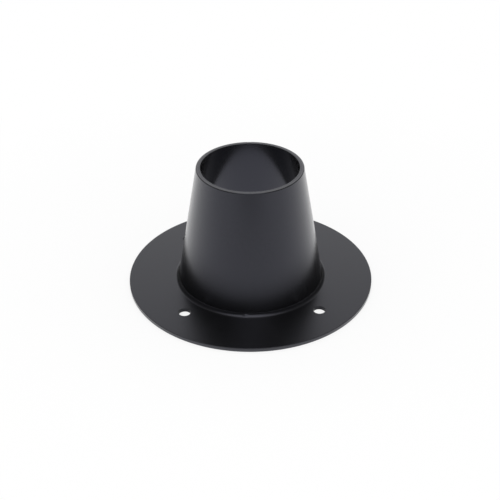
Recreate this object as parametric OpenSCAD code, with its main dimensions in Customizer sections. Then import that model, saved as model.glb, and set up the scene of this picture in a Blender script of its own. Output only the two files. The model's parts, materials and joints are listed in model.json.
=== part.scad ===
// Flag pole stand: a tapered steel sleeve welded upright on a round flange.
// +Z is up. The origin is the centre of the flange's underside.

/* [Pole] */
// Outer diameter of the pole that stands in the sleeve
pole_d = 76.1; // [40:0.1:100]
// Gap all round between the pole and the sleeve's mouth
pole_gap = 0.5; // [0.2:0.1:3]

/* [Sleeve] */
// Height of the sleeve above the flange
sleeve_h = 100; // [60:1:250]
// Outer diameter of the sleeve where it stands on the flange
foot_d = 119; // [112:1:180]
// Thickness of the sleeve's wall
wall_t = 3.6; // [2:0.1:6]
// Rounding of the two edges of the rim
rim_round = 0.6; // [0.2:0.1:0.9]

/* [Flange] */
// Thickness of the flange
flange_t = 3.2; // [2:0.1:8]
// Distance from the sleeve's foot out to the centres of the screw holes
hole_land = 15.5; // [14:0.1:60]
// Distance from the centres of the screw holes out to the flange's edge
edge_land = 25; // [14:0.1:60]
// How far the flange reaches in past the sleeve's inner face, as a seat
seat_ledge = 1.5; // [0.5:0.1:6]
// Rounding of the flange's edges
edge_round = 0.4; // [0.2:0.1:0.9]

/* [Screw holes] */
// Number of screw holes
hole_count = 4; // [3:1:8]
// Diameter of a screw hole
hole_d = 9.5; // [5:0.5:16]
// Bevel at both ends of a screw hole
hole_bevel = 0.3; // [0.1:0.1:0.9]

/* [Base weld] */
// Leg of the fillet weld round the sleeve's foot
weld_leg = 2.7; // [1.5:0.1:5]
// Hollow of the weld's face, as a share of its leg
weld_hollow = 0.25; // [0.05:0.05:0.25]
// Angle round the foot at which the bead starts and stops
stop_angle = -95; // [-180:1:180]
// Radius of the lump where the bead's end runs over its start
stop_r = 1.7; // [1:0.1:3]

/* [Seam weld] */
// Width of the weld that closes the rolled sleeve
seam_w = 3.4; // [2:0.1:8]
// Height that the seam stands proud of the wall's outer face
seam_cap = 0.3; // [0.1:0.1:1]
// Angle round the sleeve at which the seam lies
seam_angle = 90; // [60:1:120]

/* [Hidden] */
$fn = 128;
arc_steps = 6;
over = 1;

mouth_r = pole_d / 2 + pole_gap;
foot_r = foot_d / 2;
// The lean of the wall: the line from the mouth's inner edge to the foot's outer edge,
// less the angle that the wall's own thickness takes up.
reach = foot_r - mouth_r;
lean = atan2(reach, sleeve_h) - asin(wall_t / norm([reach, sleeve_h]));
wall_flat = wall_t / cos(lean);
mouth_outer_r = mouth_r + wall_flat;
foot_inner_r = foot_r - wall_flat;
rim_z = flange_t + sleeve_h;
opening_r = foot_inner_r - seat_ledge;
hole_circle_r = foot_r + hole_land;
flange_r = hole_circle_r + edge_land;
// Half of the angle from one screw hole to the next puts a hole on each side of the front
hole_start = 45 * 4 / hole_count;

// A unit vector along v
function unit(v) = v / norm(v);

// Points of an arc of radius r that rounds the corner between two neighbours
function corner_arc(before, corner, after, r) =
    let (
        a = unit(before - corner),
        b = unit(after - corner),
        half = acos(a * b) / 2,
        middle = unit(a + b) * r / sin(half),
        start = a * r / tan(half) - middle,
        first = atan2(start.y, start.x),
        sweep = sign(b.x * a.y - b.y * a.x) * (180 - 2 * half)
    )
    [
        for (i = [0:arc_steps])
            let (turn = first + sweep * i / arc_steps)
            corner + middle + r * [cos(turn), sin(turn)]
    ];

// The outline with each corner rounded by its own radius, or kept sharp where that is 0
function rounded(corners, radii) =
    let (n = len(corners))
    [
        for (i = [0:n - 1])
            each radii[i] == 0
                ? [corners[i]]
                : corner_arc(corners[(i + n - 1) % n], corners[i], corners[(i + 1) % n], radii[i])
    ];

// Section of the flange, from its opening to its edge
module flange_section() {
    polygon(rounded(
        [[opening_r, 0], [flange_r, 0], [flange_r, flange_t], [opening_r, flange_t]],
        [edge_round, edge_round, edge_round, edge_round]
    ));
}

// Section of the sleeve's wall, leaning in towards the rim
module wall_section() {
    polygon(rounded(
        [[foot_inner_r, flange_t], [foot_r, flange_t], [mouth_outer_r, rim_z], [mouth_r, rim_z]],
        [0, 0, rim_round, rim_round]
    ));
}

// Section of the seam: the wall, flush inside so that a pole slides past, with a low cap outside
// that runs from above the base weld to below the rim
module seam_section() {
    cap_start = weld_leg + seam_cap;
    cap_end = sleeve_h - rim_round - seam_cap;
    cap_r = foot_r + seam_cap / cos(lean);
    core_r = foot_r - wall_flat / 2;
    slope = tan(lean);
    wall_section();
    polygon([
        [core_r - slope * cap_start, flange_t + cap_start],
        [cap_r - slope * cap_start, flange_t + cap_start],
        [cap_r - slope * cap_end, flange_t + cap_end],
        [core_r - slope * cap_end, flange_t + cap_end]
    ]);
}

// Section of the base weld: a triangle in the corner of sleeve and flange, with a hollow face
module weld_section() {
    corner = [foot_r, flange_t];
    toe = corner + [weld_leg, 0];
    top = corner + weld_leg * [-sin(lean), cos(lean)];
    chord = norm(top - toe);
    hollow = weld_hollow * weld_leg;
    hollow_r = (chord * chord / 4 + hollow * hollow) / (2 * hollow);
    outward = unit([toe.y - top.y, top.x - toe.x]) * -1;
    difference() {
        polygon([corner, toe, top]);
        translate((toe + top) / 2 + outward * (hollow_r - hollow))
            circle(r = hollow_r);
    }
}

// The slab of space that the seam takes out of the rolled sleeve
module seam_slab() {
    rotate([0, 0, seam_angle])
        translate([0, -seam_w / 2, 0])
            cube([foot_r + seam_cap + over, seam_w, rim_z + over]);
}

// One screw hole: a true bore, bevelled at both ends
module screw_hole() {
    translate([0, 0, -over])
        cylinder(d = hole_d, h = flange_t + 2 * over);
    bevel_cone(0, 1);
    bevel_cone(flange_t, -1);
}

// A cone that bevels the screw hole at height z, narrowing in the direction dir
module bevel_cone(z, dir) {
    wide_r = hole_d / 2 + hole_bevel;
    translate([0, 0, z])
        mirror([0, 0, dir < 0 ? 1 : 0])
            translate([0, 0, -over])
                cylinder(r1 = wide_r + over, r2 = hole_d / 2, h = over + hole_bevel);
}

module base_plate() {
    color("#26272a")
        difference() {
            rotate_extrude()
                flange_section();
            for (i = [0:hole_count - 1])
                rotate([0, 0, hole_start + i * 360 / hole_count])
                    translate([hole_circle_r, 0, 0])
                        screw_hole();
        }
}

module tapered_sleeve() {
    color("#2b2c2f")
        difference() {
            rotate_extrude()
                wall_section();
            seam_slab();
        }
}

module seam_weld() {
    color("#303135")
        intersection() {
            rotate_extrude()
                seam_section();
            seam_slab();
        }
}

module base_weld() {
    color("#34353a") {
        rotate_extrude()
            weld_section();
        weld_stop();
    }
}

// The lump where the bead's end runs over its start, kept clear of the sleeve and the flange
module weld_stop() {
    difference() {
        rotate([0, 0, stop_angle])
            translate([foot_r, 0, flange_t])
                sphere(r = stop_r);
        translate([0, 0, flange_t])
            cylinder(r1 = foot_r, r2 = foot_r - tan(lean) * 2 * stop_r, h = 2 * stop_r);
        cylinder(r = flange_r, h = flange_t);
    }
}

base_plate();
tapered_sleeve();
seam_weld();
base_weld();
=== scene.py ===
# %% [markdown]
# # A flag pole stand in satin black powder coat
# The stand is a small welded fabrication: a round steel flange, a tapered sleeve of rolled sheet that
# stands on it, the weld that closes the sleeve lengthwise and the fillet weld round its foot. All
# four are coated as one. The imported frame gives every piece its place. Here each one is modelled
# again with finer edges and given its coat.

# %% Load the frame
import json
import math

import bpy
from mathutils import Matrix, Vector


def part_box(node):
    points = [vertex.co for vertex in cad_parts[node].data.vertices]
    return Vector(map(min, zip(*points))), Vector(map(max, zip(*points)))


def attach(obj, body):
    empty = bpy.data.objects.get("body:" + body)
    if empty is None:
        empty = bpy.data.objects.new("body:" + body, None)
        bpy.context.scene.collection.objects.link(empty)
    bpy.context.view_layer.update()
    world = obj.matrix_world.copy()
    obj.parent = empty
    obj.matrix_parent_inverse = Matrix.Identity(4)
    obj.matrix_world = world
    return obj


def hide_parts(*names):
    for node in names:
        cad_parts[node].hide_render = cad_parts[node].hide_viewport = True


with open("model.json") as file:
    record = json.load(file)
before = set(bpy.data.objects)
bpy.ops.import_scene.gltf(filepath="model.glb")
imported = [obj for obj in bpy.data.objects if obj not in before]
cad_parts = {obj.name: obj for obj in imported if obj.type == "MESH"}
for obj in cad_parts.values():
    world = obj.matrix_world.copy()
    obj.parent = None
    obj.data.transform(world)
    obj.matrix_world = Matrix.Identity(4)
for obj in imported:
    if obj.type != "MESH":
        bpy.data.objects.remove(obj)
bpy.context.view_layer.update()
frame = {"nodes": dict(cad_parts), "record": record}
print(len(frame["nodes"]), "nodes in the packed frame")

# %% [markdown]
# ## The sizes that the pieces share
# The frame's boxes and mounts already hold most sizes. Only what no box can show, such as a wall's
# thickness, is written here as a number, in metres. One millimetre gets a name, because most of the
# detail is that small.

# %% Read the sizes
MM = 0.001
plate_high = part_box("base_plate")[1]
sleeve_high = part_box("tapered_sleeve")[1]
bolts = next(mount for mount in frame["record"]["mounts"] if mount["name"] == "floor_bolts")

FLANGE_R = round(plate_high.x, 4)
FLANGE_T = plate_high.z
HOLE_CIRCLE_R = bolts["dims"]["pcd_mm"] / 2 * MM
HOLE_R = bolts["dims"]["hole_r_mm"] * MM
HOLE_COUNT = bolts["dims"]["count"]
FOOT_R = round(sleeve_high.x, 4)
RIM_Z = sleeve_high.z
SLEEVE_H = RIM_Z - FLANGE_T
WALL = 3.6 * MM
MOUTH_R = 38.55 * MM
SEAT_LEDGE = 1.5 * MM
print(f"flange {2 * FLANGE_R / MM:.1f} x {FLANGE_T / MM:.1f} mm, sleeve {SLEEVE_H / MM:.1f} mm high")

# %% Work out the lean of the wall
reach = FOOT_R - MOUTH_R
LEAN = math.atan2(reach, SLEEVE_H) - math.asin(WALL / math.hypot(reach, SLEEVE_H))
WALL_FLAT = WALL / math.cos(LEAN)
SLOPE = math.tan(LEAN)
print(f"wall leans {math.degrees(LEAN):.2f} degrees")
print(f"mouth {2 * MOUTH_R / MM:.1f} mm, foot {2 * FOOT_R / MM:.1f} mm")

# %% [markdown]
# ## Helpers for modelling
# Every operator acts on what is selected, so each step starts by clearing the selection. The helpers
# are the few moves that all the pieces need: make a piece the active one, pick its points or edges by
# their place, apply a modifier, and finish the surface.

# %% Selection
def clear_selection():
    if bpy.context.object and bpy.context.object.mode != "OBJECT":
        bpy.ops.object.mode_set(mode="OBJECT")
    bpy.ops.object.select_all(action="DESELECT")


def make_active(piece):
    clear_selection()
    bpy.context.view_layer.objects.active = piece
    piece.select_set(True)


def pick(piece, kind, test):
    """Selects the vertices or edges that pass a test on their points, and stays in edit mode."""
    make_active(piece)
    bpy.ops.object.mode_set(mode="EDIT")
    bpy.ops.mesh.select_mode(type=kind)
    bpy.ops.mesh.select_all(action="DESELECT")
    bpy.ops.object.mode_set(mode="OBJECT")
    mesh = piece.data
    if kind == "VERT":
        for vertex in mesh.vertices:
            vertex.select = test([vertex.co])
    else:
        for edge in mesh.edges:
            edge.select = test([mesh.vertices[i].co for i in edge.vertices])
    bpy.ops.object.mode_set(mode="EDIT")


# %% Modifiers and finish
def apply_modifier(piece, kind, **settings):
    make_active(piece)
    modifier = piece.modifiers.new(kind.title(), kind)
    for name, value in settings.items():
        setattr(modifier, name, value)
    bpy.ops.object.modifier_apply(modifier=modifier.name)


def cut_with(piece, cutter):
    """Takes the cutter's volume out of the piece, and the cutter with it."""
    apply_modifier(piece, "BOOLEAN", operation="DIFFERENCE", solver="EXACT", object=cutter)
    bpy.data.objects.remove(cutter)


def finish_surface(piece, sharp=35):
    """Smooth shading that keeps large faces flat, as they pull the normals of narrow edges to them."""
    make_active(piece)
    bpy.ops.object.shade_smooth_by_angle(angle=math.radians(sharp))
    apply_modifier(piece, "WEIGHTED_NORMAL", mode="FACE_AREA", weight=90, keep_sharp=True)
    print(piece.name, "finished with", len(piece.data.polygons), "faces")


# %% [markdown]
# ## A turned section
# The flange, the sleeve and the fillet are all bodies of revolution. Each could be a cylinder or cone
# with cuts, but a section spun about the axis keeps the faces in clean rings. So a flat four-cornered
# section is laid out in the XZ plane, the corners that are soft on the real edge are bevelled as
# points, and the outline is spun.

# %% Spin a section into a ring
EDGE_STEPS = 4
MERGE = 0.002 * MM


def spun_ring(name, corners, soft, radius, turns, bend=EDGE_STEPS):
    """A closed ring spun from a section. corners are (radius, height), and soft says which are rounded."""
    clear_selection()
    bpy.ops.mesh.primitive_plane_add(size=MM)
    piece = bpy.context.object
    piece.name = piece.data.name = name
    outline = [piece.data.vertices[i] for i in piece.data.polygons[0].vertices]
    for vertex, (out, up) in zip(outline, corners):
        vertex.co = (out, 0, up)
    round_points = [vertex.co.copy() for vertex, is_soft in zip(outline, soft) if is_soft]
    pick(piece, "VERT", lambda points: points[0] in round_points)
    bpy.ops.mesh.bevel(offset=radius, segments=bend, affect="VERTICES", profile=0.5)
    bpy.ops.mesh.select_all(action="SELECT")
    bpy.ops.mesh.delete(type="ONLY_FACE")
    bpy.ops.mesh.select_all(action="SELECT")
    bpy.ops.mesh.spin(steps=turns, angle=math.tau, center=(0, 0, 0), axis=(0, 0, 1))
    bpy.ops.mesh.select_all(action="SELECT")
    bpy.ops.mesh.remove_doubles(threshold=MERGE)
    bpy.ops.mesh.normals_make_consistent(inside=False)
    bpy.ops.object.mode_set(mode="OBJECT")
    print(name, "spun from", len(piece.data.vertices) // turns, "points in", turns, "steps")
    return piece


# %% [markdown]
# ## The flange
# The real flange is cut from 3.2 mm sheet and coated, which leaves its edges softly rounded. The ring
# is spun with rounded corners. The screw holes are drilled afterwards with a cylinder and a modifier,
# and the sharp edges that the drill leaves are picked by their distance from the hole's axis and
# bevelled.

# %% Spin the flange
RING_STEPS = 256
EDGE_ROUND = 0.4 * MM
OPENING_R = FOOT_R - WALL_FLAT - SEAT_LEDGE
flange = spun_ring(
    "flange",
    [(OPENING_R, 0), (FLANGE_R, 0), (FLANGE_R, FLANGE_T), (OPENING_R, FLANGE_T)],
    [True, True, True, True],
    EDGE_ROUND,
    turns=RING_STEPS,
)

# %% Drill the screw holes
HOLE_STEPS = 64
hole_places = []
for number in range(HOLE_COUNT):
    angle = math.tau * (number + 0.5) / HOLE_COUNT
    place = Vector((HOLE_CIRCLE_R * math.cos(angle), HOLE_CIRCLE_R * math.sin(angle), FLANGE_T / 2))
    hole_places.append(place)
    clear_selection()
    drill = {"vertices": HOLE_STEPS, "radius": HOLE_R, "depth": 4 * FLANGE_T}
    bpy.ops.mesh.primitive_cylinder_add(location=place, **drill)
    cut_with(flange, bpy.context.object)
    print(f"hole {number + 1} at {math.degrees(angle):.0f} degrees")

# %% Soften the edges of the holes
HOLE_SOFT = 0.3 * MM
TOUCH = 0.01 * MM


def on_a_hole(point):
    """Whether a point lies on the wall of one of the holes."""
    off = min(abs((point - place).to_2d().length - HOLE_R) for place in hole_places)
    return off < TOUCH


def is_hole_rim(points):
    heights = [point.z for point in points]
    return max(heights) - min(heights) < TOUCH and all(on_a_hole(point) for point in points)


pick(flange, "EDGE", is_hole_rim)
print(flange.data.total_edge_sel, "edges to bevel round", HOLE_COUNT, "holes")
bpy.ops.mesh.bevel(offset=HOLE_SOFT, segments=EDGE_STEPS, affect="EDGES", profile=0.5, clamp_overlap=False)
bpy.ops.object.mode_set(mode="OBJECT")
finish_surface(flange)

# %% [markdown]
# ## The sleeve
# A flat blank is rolled into a cone and welded shut. Its section is one leaning wall, square at the
# foot, where it sits on the flange, and softened at both edges of the rim. The gap that the
# lengthwise weld fills is cut out of the ring afterwards, so that sleeve and weld are two bodies here
# too, as they were before they were joined.

# %% Spin the sleeve
RIM_ROUND = 0.6 * MM
sleeve = spun_ring(
    "sleeve",
    [(FOOT_R - WALL_FLAT, FLANGE_T), (FOOT_R, FLANGE_T), (MOUTH_R + WALL_FLAT, RIM_Z), (MOUTH_R, RIM_Z)],
    [False, False, True, True],
    RIM_ROUND,
    turns=RING_STEPS,
)

# %% Open the seam
SEAM_W = 3.4 * MM
clear_selection()
slab = (SEAM_W, FOOT_R, 2 * RIM_Z)
bpy.ops.mesh.primitive_cube_add(size=1, location=(0, FOOT_R, RIM_Z / 2), scale=slab)
cut_with(sleeve, bpy.context.object)
finish_surface(sleeve)

# %% [markdown]
# ## Small unevenness
# Nothing that a welder lays down is quite even. A few sine waves of unlike length, added up, give a
# drift that doesn't look like a pattern, and it is the same on each run, as nothing in it is random.

# %% Waves
def waves(parts, place):
    """The sum of sine waves, each given as its height, its pace and its start."""
    return sum(height * math.sin(pace * place + start) for height, pace, start in parts)


def held(value):
    """The value, held between 0 and 1."""
    return min(1, max(0, value))


# %% [markdown]
# ## The seam weld
# The weld fills the gap through the whole wall. Inside it is dressed flush, so that a pole slides
# past it. Outside it keeps a low crown, which the coat blends into the wall. A bar is subdivided and
# then wrapped into the gap: its width follows the cone, its height follows the lean, and the crown
# rises as a cosine, so it has no edge.

# %% The wall and the crown as formulas
SEAM_CROWN = 0.3 * MM
WELD_LEG = 2.7 * MM
# Heights are shares of the crown, and paces are radians for each millimetre
CROWN_WAVES = ((0.12, 0.9, 0), (0.08, 2.3, 1))


def wall_r(height, outer):
    """Radius of the wall's outer or inner face at a height, with the rim's rounding."""
    plain = FOOT_R - SLOPE * (height - FLANGE_T) - (0 if outer else WALL_FLAT)
    into = max(0, height - (RIM_Z - RIM_ROUND))
    rounding = RIM_ROUND - math.sqrt(max(0, RIM_ROUND**2 - into**2))
    return plain - rounding if outer else plain + rounding


def crown(across, height):
    """How far the weld stands proud: a cosine across, fading out above the fillet and below the rim."""
    fade_in = held((height - FLANGE_T - WELD_LEG) / WELD_LEG)
    fade_out = held((RIM_Z - RIM_ROUND - height) / WELD_LEG)
    uneven = 1 + waves(CROWN_WAVES, height / MM)
    return SEAM_CROWN * uneven * fade_in * fade_out * (1 + math.cos(math.tau * across)) / 2


# %% Subdivide a bar
# The cube is 1 long each way, so the two ends of an edge differ by more than 0.5 only along that edge
SEAM_STEPS = 200
ACROSS = 10
clear_selection()
bpy.ops.mesh.primitive_cube_add(size=1)
seam_bead = bpy.context.object
seam_bead.name = seam_bead.data.name = "seam_bead"
pick(seam_bead, "EDGE", lambda ends: abs(ends[0].z - ends[1].z) > 0.5)
bpy.ops.mesh.subdivide(number_cuts=SEAM_STEPS - 1)
pick(seam_bead, "EDGE", lambda ends: abs(ends[0].x - ends[1].x) > 0.5)
bpy.ops.mesh.subdivide(number_cuts=ACROSS - 1)
bpy.ops.object.mode_set(mode="OBJECT")
print("bar of", SEAM_STEPS, "by", ACROSS, "steps")

# %% Wrap the bar into the seam
# A power above 1 makes the steps finer towards the rim, where the rounding is
RIM_POWER = 1.15
for vertex in seam_bead.data.vertices:
    across, outer = vertex.co.x, vertex.co.y > 0
    height = FLANGE_T + SLEEVE_H * (1 - (0.5 - vertex.co.z) ** RIM_POWER)
    radius = wall_r(height, outer) + (crown(across, height) if outer else 0)
    side = across * SEAM_W
    vertex.co = (side, math.sqrt(radius**2 - side**2), height)
finish_surface(seam_bead, sharp=50)

# %% [markdown]
# ## The fillet weld round the foot
# A welder runs this bead in one pass, in small even steps, and lets its end run over its start. Its
# face is hollow, so that it runs out nearly flat into both the flange and the sleeve. The section is
# the corner with a hollow arc for its long side: where the arc's two end tangents cross, a corner is
# set and then bevelled back to the toes. After the spin, the face gets its ripples, a slow drift in
# size and the lump at the end of the pass.

# %% Work out the fillet's section
HOLLOW = 0.25
foot = Vector((FOOT_R, FLANGE_T))
toe = foot + Vector((WELD_LEG, 0))
top = foot + WELD_LEG * Vector((-math.sin(LEAN), math.cos(LEAN)))
outward = Vector((top.y - toe.y, toe.x - top.x)).normalized()
half_chord = (toe - top).length / 2
half_arc = 2 * math.atan(HOLLOW * WELD_LEG / half_chord)
crossing = (toe + top) / 2 - outward * half_chord * math.tan(half_arc)
print(f"face {2 * half_chord / MM:.2f} mm wide and {HOLLOW * WELD_LEG / MM:.2f} mm hollow")

# %% Spin the fillet
BEAD_STEPS = 1440
FACE_STEPS = 10
# The bevel stops just short of the toes, so that no two points meet there
TOE_SHARE = 0.995
base_bead = spun_ring(
    "base_bead",
    [tuple(foot), tuple(toe), tuple(crossing), tuple(top)],
    [False, False, True, False],
    TOE_SHARE * half_chord / math.cos(half_arc),
    turns=BEAD_STEPS,
    bend=FACE_STEPS,
)

# %% Ripple the fillet
RIPPLE = 0.02 * MM
RIPPLE_COUNT = 270
DRIFT = 0.06 * MM
# Heights are shares of the drift, and paces are waves round the foot
DRIFT_WAVES = ((1, 5, 1), (0.6, 11, 0))
LUMP = 0.40 * MM
LUMP_SPREAD = 1.7 * MM
# The front is at -90 degrees
LUMP_ANGLE = math.radians(-95)
# Points this close to the corner of sleeve and flange are hidden in it, and stay
HIDDEN = 0.1 * MM
corner_angle = math.radians(90) + LEAN
for vertex in base_bead.data.vertices:
    angle = math.atan2(vertex.co.y, vertex.co.x)
    from_foot = Vector((vertex.co.to_2d().length, vertex.co.z)) - foot
    if from_foot.length < HIDDEN:
        continue
    share = math.atan2(from_foot.y, from_foot.x) / corner_angle
    middle = max(0, 4 * share * (1 - share))
    along = (angle - LUMP_ANGLE + math.pi) % math.tau - math.pi
    lump = LUMP * math.exp(-((along * FOOT_R / LUMP_SPREAD) ** 2))
    ripple = RIPPLE * math.sin(RIPPLE_COUNT * angle)
    rise = (ripple + DRIFT * waves(DRIFT_WAVES, angle) + lump) * middle
    vertex.co += rise * Vector((math.cos(angle) * outward.x, math.sin(angle) * outward.x, outward.y))
finish_surface(base_bead, sharp=50)

# %% [markdown]
# ## Put the pieces on the frame
# Nothing moves, so all four pieces ride on the one body. Each stands for its node of the packed
# model.

# %% Ride and replace
for piece, node in (
    (flange, "base_plate"),
    (sleeve, "tapered_sleeve"),
    (seam_bead, "seam_weld"),
    (base_bead, "base_weld"),
):
    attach(piece, "root")
    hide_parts(node)
    print(piece.name, "stands for", node)

# %% [markdown]
# ## Shader maths as Python
# A coat is built from noise, masks and a little arithmetic. One small class wraps a socket, so that
# sums and products of sockets read as they would on paper, and one method makes any other node.

# %% A socket with operators
class Wire:
    """A node's output, on which arithmetic adds Math nodes."""

    def __init__(self, socket):
        self.socket = socket
        self.tree = socket.id_data

    def make(self, kind, settings, inputs, output=0):
        """Adds a node of any kind and gives its output. An input is a wire to link or a plain value."""
        node = self.tree.nodes.new(kind)
        for name, value in settings.items():
            setattr(node, name, value)
        for key, value in inputs.items():
            if isinstance(value, Wire):
                self.tree.links.new(value.socket, node.inputs[key])
            else:
                node.inputs[key].default_value = value
        return Wire(node.outputs[output])

    def combine(self, operation, first, second):
        return self.make("ShaderNodeMath", {"operation": operation}, {0: first, 1: second})

    def __add__(self, other):
        return self.combine("ADD", self, other)

    def __sub__(self, other):
        return self.combine("SUBTRACT", self, other)

    def __rsub__(self, other):
        return self.combine("SUBTRACT", other, self)

    def __mul__(self, other):
        return self.combine("MULTIPLY", self, other)

    def __pow__(self, other):
        return self.combine("POWER", self, other)

    def __abs__(self):
        return self.make("ShaderNodeMath", {"operation": "ABSOLUTE"}, {0: self})

    __radd__ = __add__
    __rmul__ = __mul__

    def larger(self, other):
        return self.combine("MAXIMUM", self, other)

    def ramp(self, low, high):
        """0 below low, 1 above high, and smooth between them."""
        settings = {"interpolation_type": "SMOOTHSTEP"}
        inputs = {"Value": self, "From Min": low, "From Max": high}
        return self.make("ShaderNodeMapRange", settings, inputs)

    def fall(self, low, high):
        """1 below low, 0 above high, and smooth between them."""
        return 1 - self.ramp(low, high)

    def noise(self, size, detail):
        """Noise whose spots are about size metres across, around 0.5."""
        inputs = {"Vector": self, "Scale": 1 / size, "Detail": detail, "Roughness": 0.5}
        return self.make("ShaderNodeTexNoise", {}, inputs)


# %% Places as wires
def place_wire(tree, kind):
    """The wire of a point's coordinates: Object on a piece, Generated for a direction in the world."""
    return Wire(tree.nodes.new("ShaderNodeTexCoord").outputs[kind])


def split(vector):
    parts = vector.make("ShaderNodeSeparateXYZ", {}, {"Vector": vector})
    return [Wire(socket) for socket in parts.socket.node.outputs]


def distance(x, y):
    """How far a point lies from the axis, in plan."""
    return (x * x + y * y) ** 0.5


# %% [markdown]
# ## Where the coat is thin and lighter
# Each piece says where its own edges are, from the same sizes that shaped it: the flange at its rim,
# its opening and its holes, the sleeve and its seam at the mouth. There the colour is lighter, partly
# for the thinner, worn skin and partly as a painted highlight where the edges catch light. The fillet
# has no edge, so its mask is a weak one on its outer half. The screw holes lie one in each quarter,
# so abs() folds all four of them onto one.

# %% Masks of the edges
THIN = 0.7 * MM
FILLET_THIN = 0.3
FILLET_OUTER = (FOOT_R + 0.2 * WELD_LEG, FOOT_R + 0.5 * WELD_LEG)


def flange_edges(x, y, z):
    step = HOLE_CIRCLE_R * math.sqrt(0.5)
    outer = distance(x, y).ramp(FLANGE_R - THIN, FLANGE_R)
    inner = distance(x, y).fall(OPENING_R, OPENING_R + THIN)
    hole = distance(abs(x) - step, abs(y) - step).fall(HOLE_R, HOLE_R + THIN)
    return outer.larger(inner).larger(hole)


def mouth_edges(x, y, z):
    return z.ramp(RIM_Z - THIN, RIM_Z)


def fillet_edges(x, y, z):
    return FILLET_THIN * distance(x, y).ramp(*FILLET_OUTER)


# %% Mask of the inner wall
INNER_BLUR = 0.5 * MM


def inner_wall(x, y, z):
    """1 on the inner half of the sleeve's wall, where nothing has rubbed the coat."""
    middle = FOOT_R - WALL_FLAT / 2 + SLOPE * FLANGE_T
    return (distance(x, y) + SLOPE * z).fall(middle - INNER_BLUR, middle + INNER_BLUR)


# %% [markdown]
# ## The powder coat
# The black powder is sprayed on dry and melted in an oven. It flows into a satin skin with a faint
# orange peel of one to two millimetres, finer grain inside that, and a few nibs where a grain of dust
# was caught. Under it the colour is almost black. Nearly all of what shows is the skin's own
# reflection, so roughness and bump matter more than colour. Where an edge is sharp the skin is
# thinner and a touch lighter, as handling wears it there first, and the lighter colour there is also
# a painted highlight for the light that the edges catch.
#
# One shader gives two reflections. The lower one is a little cool and its roughness varies from place
# to place. The upper one, the shader's clear coat, is neutral and even, and weaker on the inner wall.

# %% The coat's colours and reflections
SKIN_IOR = 1.53
SKIN_TINT = (0.74, 0.76, 1.0, 1)
GLOSS_IOR = 1.38
GLOSS_SHARE = 0.78
INNER_GLOSS_LOSS = 0.6
COAT_DARK = (0.0022, 0.0022, 0.0023, 1)
COAT_LIGHT = (0.0038, 0.0038, 0.0040, 1)
# The edges' colour: partly the worn, thinner coat and partly a painted highlight where edges catch light
EDGE_WEAR_AND_HIGHLIGHT = (0.036, 0.036, 0.036, 1)
print(f"from straight ahead the skin mirrors {((SKIN_IOR - 1) / (SKIN_IOR + 1)) ** 2:.1%} of the light")

# %% The coat's detail
# How large the spots of each kind are
PEEL = 1.6 * MM
GRAIN = 0.25 * MM
CLOUD = 35 * MM
NIB_SPACING = 9 * MM
NIB_SHARE = 0.035
# How far they rise
PEEL_RISE = 0.009 * MM
GRAIN_RISE = 0.002 * MM
NIB_RISE = 0.04 * MM
# How much they change the roughness
GRAIN_ROUGH = 0.06
CLOUD_ROUGH = 0.08
WORN_ROUGH = 0.04
INNER_SMOOTHER = 0.10
print(f"peel of {PEEL / MM} mm, grain of {GRAIN / MM} mm, one nib in {NIB_SPACING / MM:.0f} mm")

# %% Colour of the coat
CLOUD_EDGE = (0.3, 0.7)
# How much lighter the edges are painted, for wear and as a painted highlight
EDGE_LIGHTER_LEAST = 0.25
EDGE_LIGHTER_GRAIN = 0.5


def coat_colour(cloud, grain, edge):
    """Almost black, a touch lighter in clouds, and lighter along the edges, partly for wear and partly as
    a painted highlight.
    """

    def blend(share, first, second):
        settings = {"data_type": "RGBA"}
        return share.make("ShaderNodeMix", settings, {"Factor": share, 6: first, 7: second}, 2)

    colour = blend(cloud.ramp(*CLOUD_EDGE), COAT_DARK, COAT_LIGHT)
    return blend(edge * (EDGE_LIGHTER_LEAST + EDGE_LIGHTER_GRAIN * grain), colour, EDGE_WEAR_AND_HIGHLIGHT)


# %% Build a coat
def coat(name, edge_mask, roughness, inner_mask):
    """A satin black powder coat. The masks take the point's wires, and inner_mask may be None."""
    material = bpy.data.materials.new(name)
    material.use_nodes = True
    tree = material.node_tree
    shader = tree.nodes["Principled BSDF"]
    shader.inputs["IOR"].default_value = SKIN_IOR
    shader.inputs["Specular Tint"].default_value = SKIN_TINT
    shader.inputs["Coat IOR"].default_value = GLOSS_IOR
    shader.inputs["Coat Roughness"].default_value = roughness
    shader.inputs["Coat Weight"].default_value = GLOSS_SHARE

    place = place_wire(tree, "Object")
    x, y, z = split(place)
    edge = edge_mask(x, y, z)
    cloud = place.noise(CLOUD, 3.0)
    peel = place.noise(PEEL, 1.0)
    grain = place.noise(GRAIN, 2.0)
    cells = place.make("ShaderNodeTexVoronoi", {}, {"Vector": place, "Scale": 1 / NIB_SPACING})
    nib = cells.fall(0.0, NIB_SHARE)

    rough = roughness + CLOUD_ROUGH * (cloud - 0.5) + GRAIN_ROUGH * (grain - 0.5) + WORN_ROUGH * edge
    if inner_mask:
        inner = inner_mask(x, y, z)
        rough = rough - INNER_SMOOTHER * inner
        weight = GLOSS_SHARE * (1 - INNER_GLOSS_LOSS * inner)
        tree.links.new(weight.socket, shader.inputs["Coat Weight"])
    height = PEEL_RISE * peel + GRAIN_RISE * grain + NIB_RISE * nib
    bump = place.make("ShaderNodeBump", {}, {"Height": height, "Strength": 1.0, "Distance": 1.0})
    tree.links.new(coat_colour(cloud, grain, edge).socket, shader.inputs["Base Color"])
    tree.links.new(rough.socket, shader.inputs["Roughness"])
    tree.links.new(bump.socket, shader.inputs["Normal"])
    print(name, "has", len(tree.nodes), "nodes")
    return material


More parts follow.
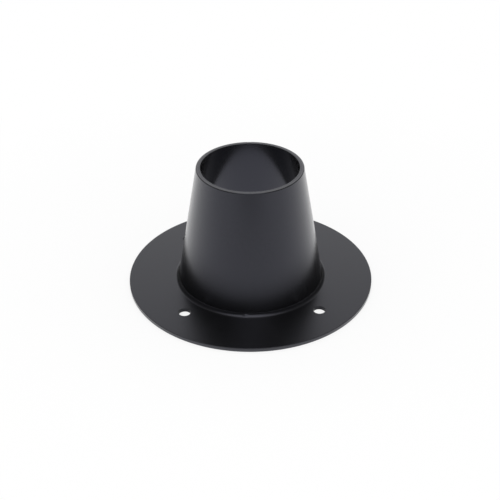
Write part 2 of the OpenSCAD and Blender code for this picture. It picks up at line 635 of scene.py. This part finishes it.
# %% Coat the pieces
FLANGE_ROUGH = 0.34
SLEEVE_ROUGH = 0.26
FILLET_ROUGH = 0.28
for piece, name, edges, roughness, inner in (
    (flange, "flange_coat", flange_edges, FLANGE_ROUGH, None),
    (sleeve, "sleeve_coat", mouth_edges, SLEEVE_ROUGH, inner_wall),
    (seam_bead, "seam_coat", mouth_edges, SLEEVE_ROUGH, inner_wall),
    (base_bead, "weld_coat", fillet_edges, FILLET_ROUGH, None),
):
    piece.data.materials.clear()
    piece.data.materials.append(coat(name, edges, roughness, inner))

# %% [markdown]
# ## The studio
# A black satin skin shows little of its own colour. What it shows is the room, so the room is built
# for its reflections: a white table, a white wall behind the stand, one soft lamp overhead, and a dim
# room everywhere else. To the camera all of it is white. Only the table near the stand keeps a part
# of its own shading, so that the stand has its shadow, and from below the table is clear, so that the
# underside can be looked at.

# %% Rays that see the background
def ray_kinds(tree):
    """Two wires: 1 for the camera's own rays, and 1 for rays that a surface mirrors or lets by."""
    path = tree.nodes.new("ShaderNodeLightPath")
    glossy = Wire(path.outputs["Is Glossy Ray"])
    passing = Wire(path.outputs["Is Transmission Ray"])
    return Wire(path.outputs["Is Camera Ray"]), glossy.larger(passing)


# %% Table
TABLE_SIZE = 6.0
TABLE_GAP = 0.05 * MM
clear_selection()
bpy.ops.mesh.primitive_plane_add(size=TABLE_SIZE, location=(0, 0, -TABLE_GAP))
bpy.ops.object.transform_apply(location=True, rotation=False, scale=False)
table = bpy.context.object
table.name = "table"
print("table", TABLE_SIZE, "m wide")

# %% [markdown]
# ## What the stand sees of the table
# In a studio the table isn't equally bright all over. In front of the stand the camera and the person
# behind it take light away, the more so further off. Close to the flange's front lies the soft shadow
# that the stand casts, and under the flange it is darker. The first two of these shades draw the dark
# zones on the sleeve and its foot, and the third keeps the screw holes from glowing in the sleeve.

# %% Shade of the table in reflections
# In front of the stand
FRONT_SHADE = 0.17
FRONT_REACH = (0.0, 0.25)
FAR_SHADE = 0.36
FAR_REACH = (0.45, 0.75)
SIDE_FADE = (0.15, 0.6)
# In a ring close to the flange, on its front side
NEAR_SHADE = 0.75
RING_START = (1.04 * FLANGE_R, 1.08 * FLANGE_R)
RING_END = (1.05 * FLANGE_R, 1.7 * FLANGE_R)
RING_FRONT = (-0.6 * FLANGE_R, FLANGE_R)
# Under the flange
UNDER_SHADE = 0.7
UNDER_START = (0.9 * FOOT_R, FOOT_R)
UNDER_END = (0.98 * FLANGE_R, FLANGE_R)


def table_shade(x, y):
    """How much light the table lacks for a mirrored ray."""
    radius, forward = distance(x, y), 0 - y
    in_front = FRONT_SHADE * forward.ramp(*FRONT_REACH) + FAR_SHADE * forward.ramp(*FAR_REACH)
    near = NEAR_SHADE * radius.ramp(*RING_START) * radius.fall(*RING_END) * forward.ramp(*RING_FRONT)
    under = UNDER_SHADE * radius.ramp(*UNDER_START) * radius.fall(*UNDER_END)
    return near.larger(under).larger(in_front * abs(x).fall(*SIDE_FADE))


# %% Paint the table
TABLE_WHITE = 0.97
TABLE_ROUGH = 0.9
OWN_SHADING = 0.25
OWN_REACH = (1.2 * FLANGE_R, 4 * FLANGE_R)
white = bpy.data.materials.new("table_white")
white.use_nodes = True
tree = white.node_tree
shader = tree.nodes["Principled BSDF"]
shader.inputs["Base Color"].default_value = (TABLE_WHITE, TABLE_WHITE, TABLE_WHITE, 1)
shader.inputs["Roughness"].default_value = TABLE_ROUGH
place = place_wire(tree, "Object")
x, y, _ = split(place)
by_camera, mirrored = ray_kinds(tree)
own = OWN_SHADING * distance(x, y).fall(*OWN_REACH)
glow = place.make("ShaderNodeEmission", {}, {"Color": 1 - table_shade(x, y) * mirrored})
glow_share = by_camera * (1 - own) + mirrored
painted = Wire(shader.outputs["BSDF"])
lit = place.make("ShaderNodeMixShader", {}, {"Fac": glow_share, 1: painted, 2: glow})
clear = place.make("ShaderNodeBsdfTransparent", {}, {})
from_below = Wire(tree.nodes.new("ShaderNodeNewGeometry").outputs["Backfacing"])
surface = place.make("ShaderNodeMixShader", {}, {"Fac": from_below, 1: lit, 2: clear})
tree.links.new(surface.socket, tree.nodes["Material Output"].inputs["Surface"])
table.data.materials.append(white)
print("table white has", len(tree.nodes), "nodes")

# %% [markdown]
# ## The room and the lamp
# The world is the room. What a mirrored ray sees of it depends on its direction: x is sideways, y is
# away from the camera and z is up. The wall is white where the ray goes away from the camera, not too
# far to a side and not too steeply up. All other rays only light the stand.

# %% Room
ROOM_LIGHT = 0.85
WALL_WHITE = 0.9
DIM = 0.05
WALL_START = (0.0, 0.3)
WALL_SIDES = (0.28, 0.5)
WALL_TOP = (0.5, 0.95)
world = bpy.data.worlds.new("room")
bpy.context.scene.world = world
world.use_nodes = True
tree = world.node_tree
x, y, z = split(place_wire(tree, "Generated"))
wall = y.ramp(*WALL_START) * abs(x).fall(*WALL_SIDES) * z.fall(*WALL_TOP)
by_camera, mirrored = ray_kinds(tree)
seen = by_camera + mirrored * (DIM + (WALL_WHITE - DIM) * wall)
lighting = (1 - by_camera - mirrored) * ROOM_LIGHT
background = tree.nodes["Background"]
background.inputs["Color"].default_value = (1, 1, 1, 1)
tree.links.new((seen + lighting).socket, background.inputs["Strength"])
print("room has", len(tree.nodes), "nodes")

# %% Lamp
LAMP_HEIGHT = 1.1
LAMP_FORWARD = 0.4
LAMP_SIZE = (0.7, 1.2)
LAMP_GLOW = 1.15
lamp = bpy.data.objects.new("overhead_lamp", bpy.data.lights.new("overhead_lamp", "AREA"))
lamp.data.shape = "RECTANGLE"
lamp.data.size, lamp.data.size_y = LAMP_SIZE
lamp.data.energy = LAMP_GLOW * math.pi * LAMP_SIZE[0] * LAMP_SIZE[1]
lamp.location = (0, -LAMP_FORWARD, LAMP_HEIGHT)
bpy.context.scene.collection.objects.link(lamp)
print(f"lamp of {lamp.data.energy:.2f} W, {LAMP_HEIGHT} m up")

# %% [markdown]
# ## The camera
# The view is from in front and above, with a long lens. The camera is placed round the stand's axis,
# tilted down, and leans a fraction of a degree to one side, as a hand-set tripod does.

# %% Place the camera
SENSOR = 36
LENS = 71.05
CAMERA_BACK = 0.6748
CAMERA_SIDE = -0.00035
CAMERA_UP = 0.4675
CAMERA_TILT = math.radians(33.403)
CAMERA_ROLL = math.radians(0.301)
CAMERA_TURN = math.radians(1.1)
camera = bpy.data.objects.new("camera", bpy.data.cameras.new("camera"))
camera.data.sensor_width = SENSOR
camera.data.lens = LENS
place = Vector((CAMERA_SIDE, -CAMERA_BACK, FLANGE_T + CAMERA_UP))
look = Matrix.Rotation(math.pi / 2 - CAMERA_TILT, 4, "X") @ Matrix.Rotation(-CAMERA_ROLL, 4, "Z")
camera.matrix_world = Matrix.Rotation(-CAMERA_TURN, 4, "Z") @ Matrix.Translation(place) @ look
bpy.context.scene.collection.objects.link(camera)
bpy.context.scene.camera = camera
bpy.context.scene.view_settings.view_transform = "Standard"
print(f"camera {place.length:.2f} m from the stand's foot")
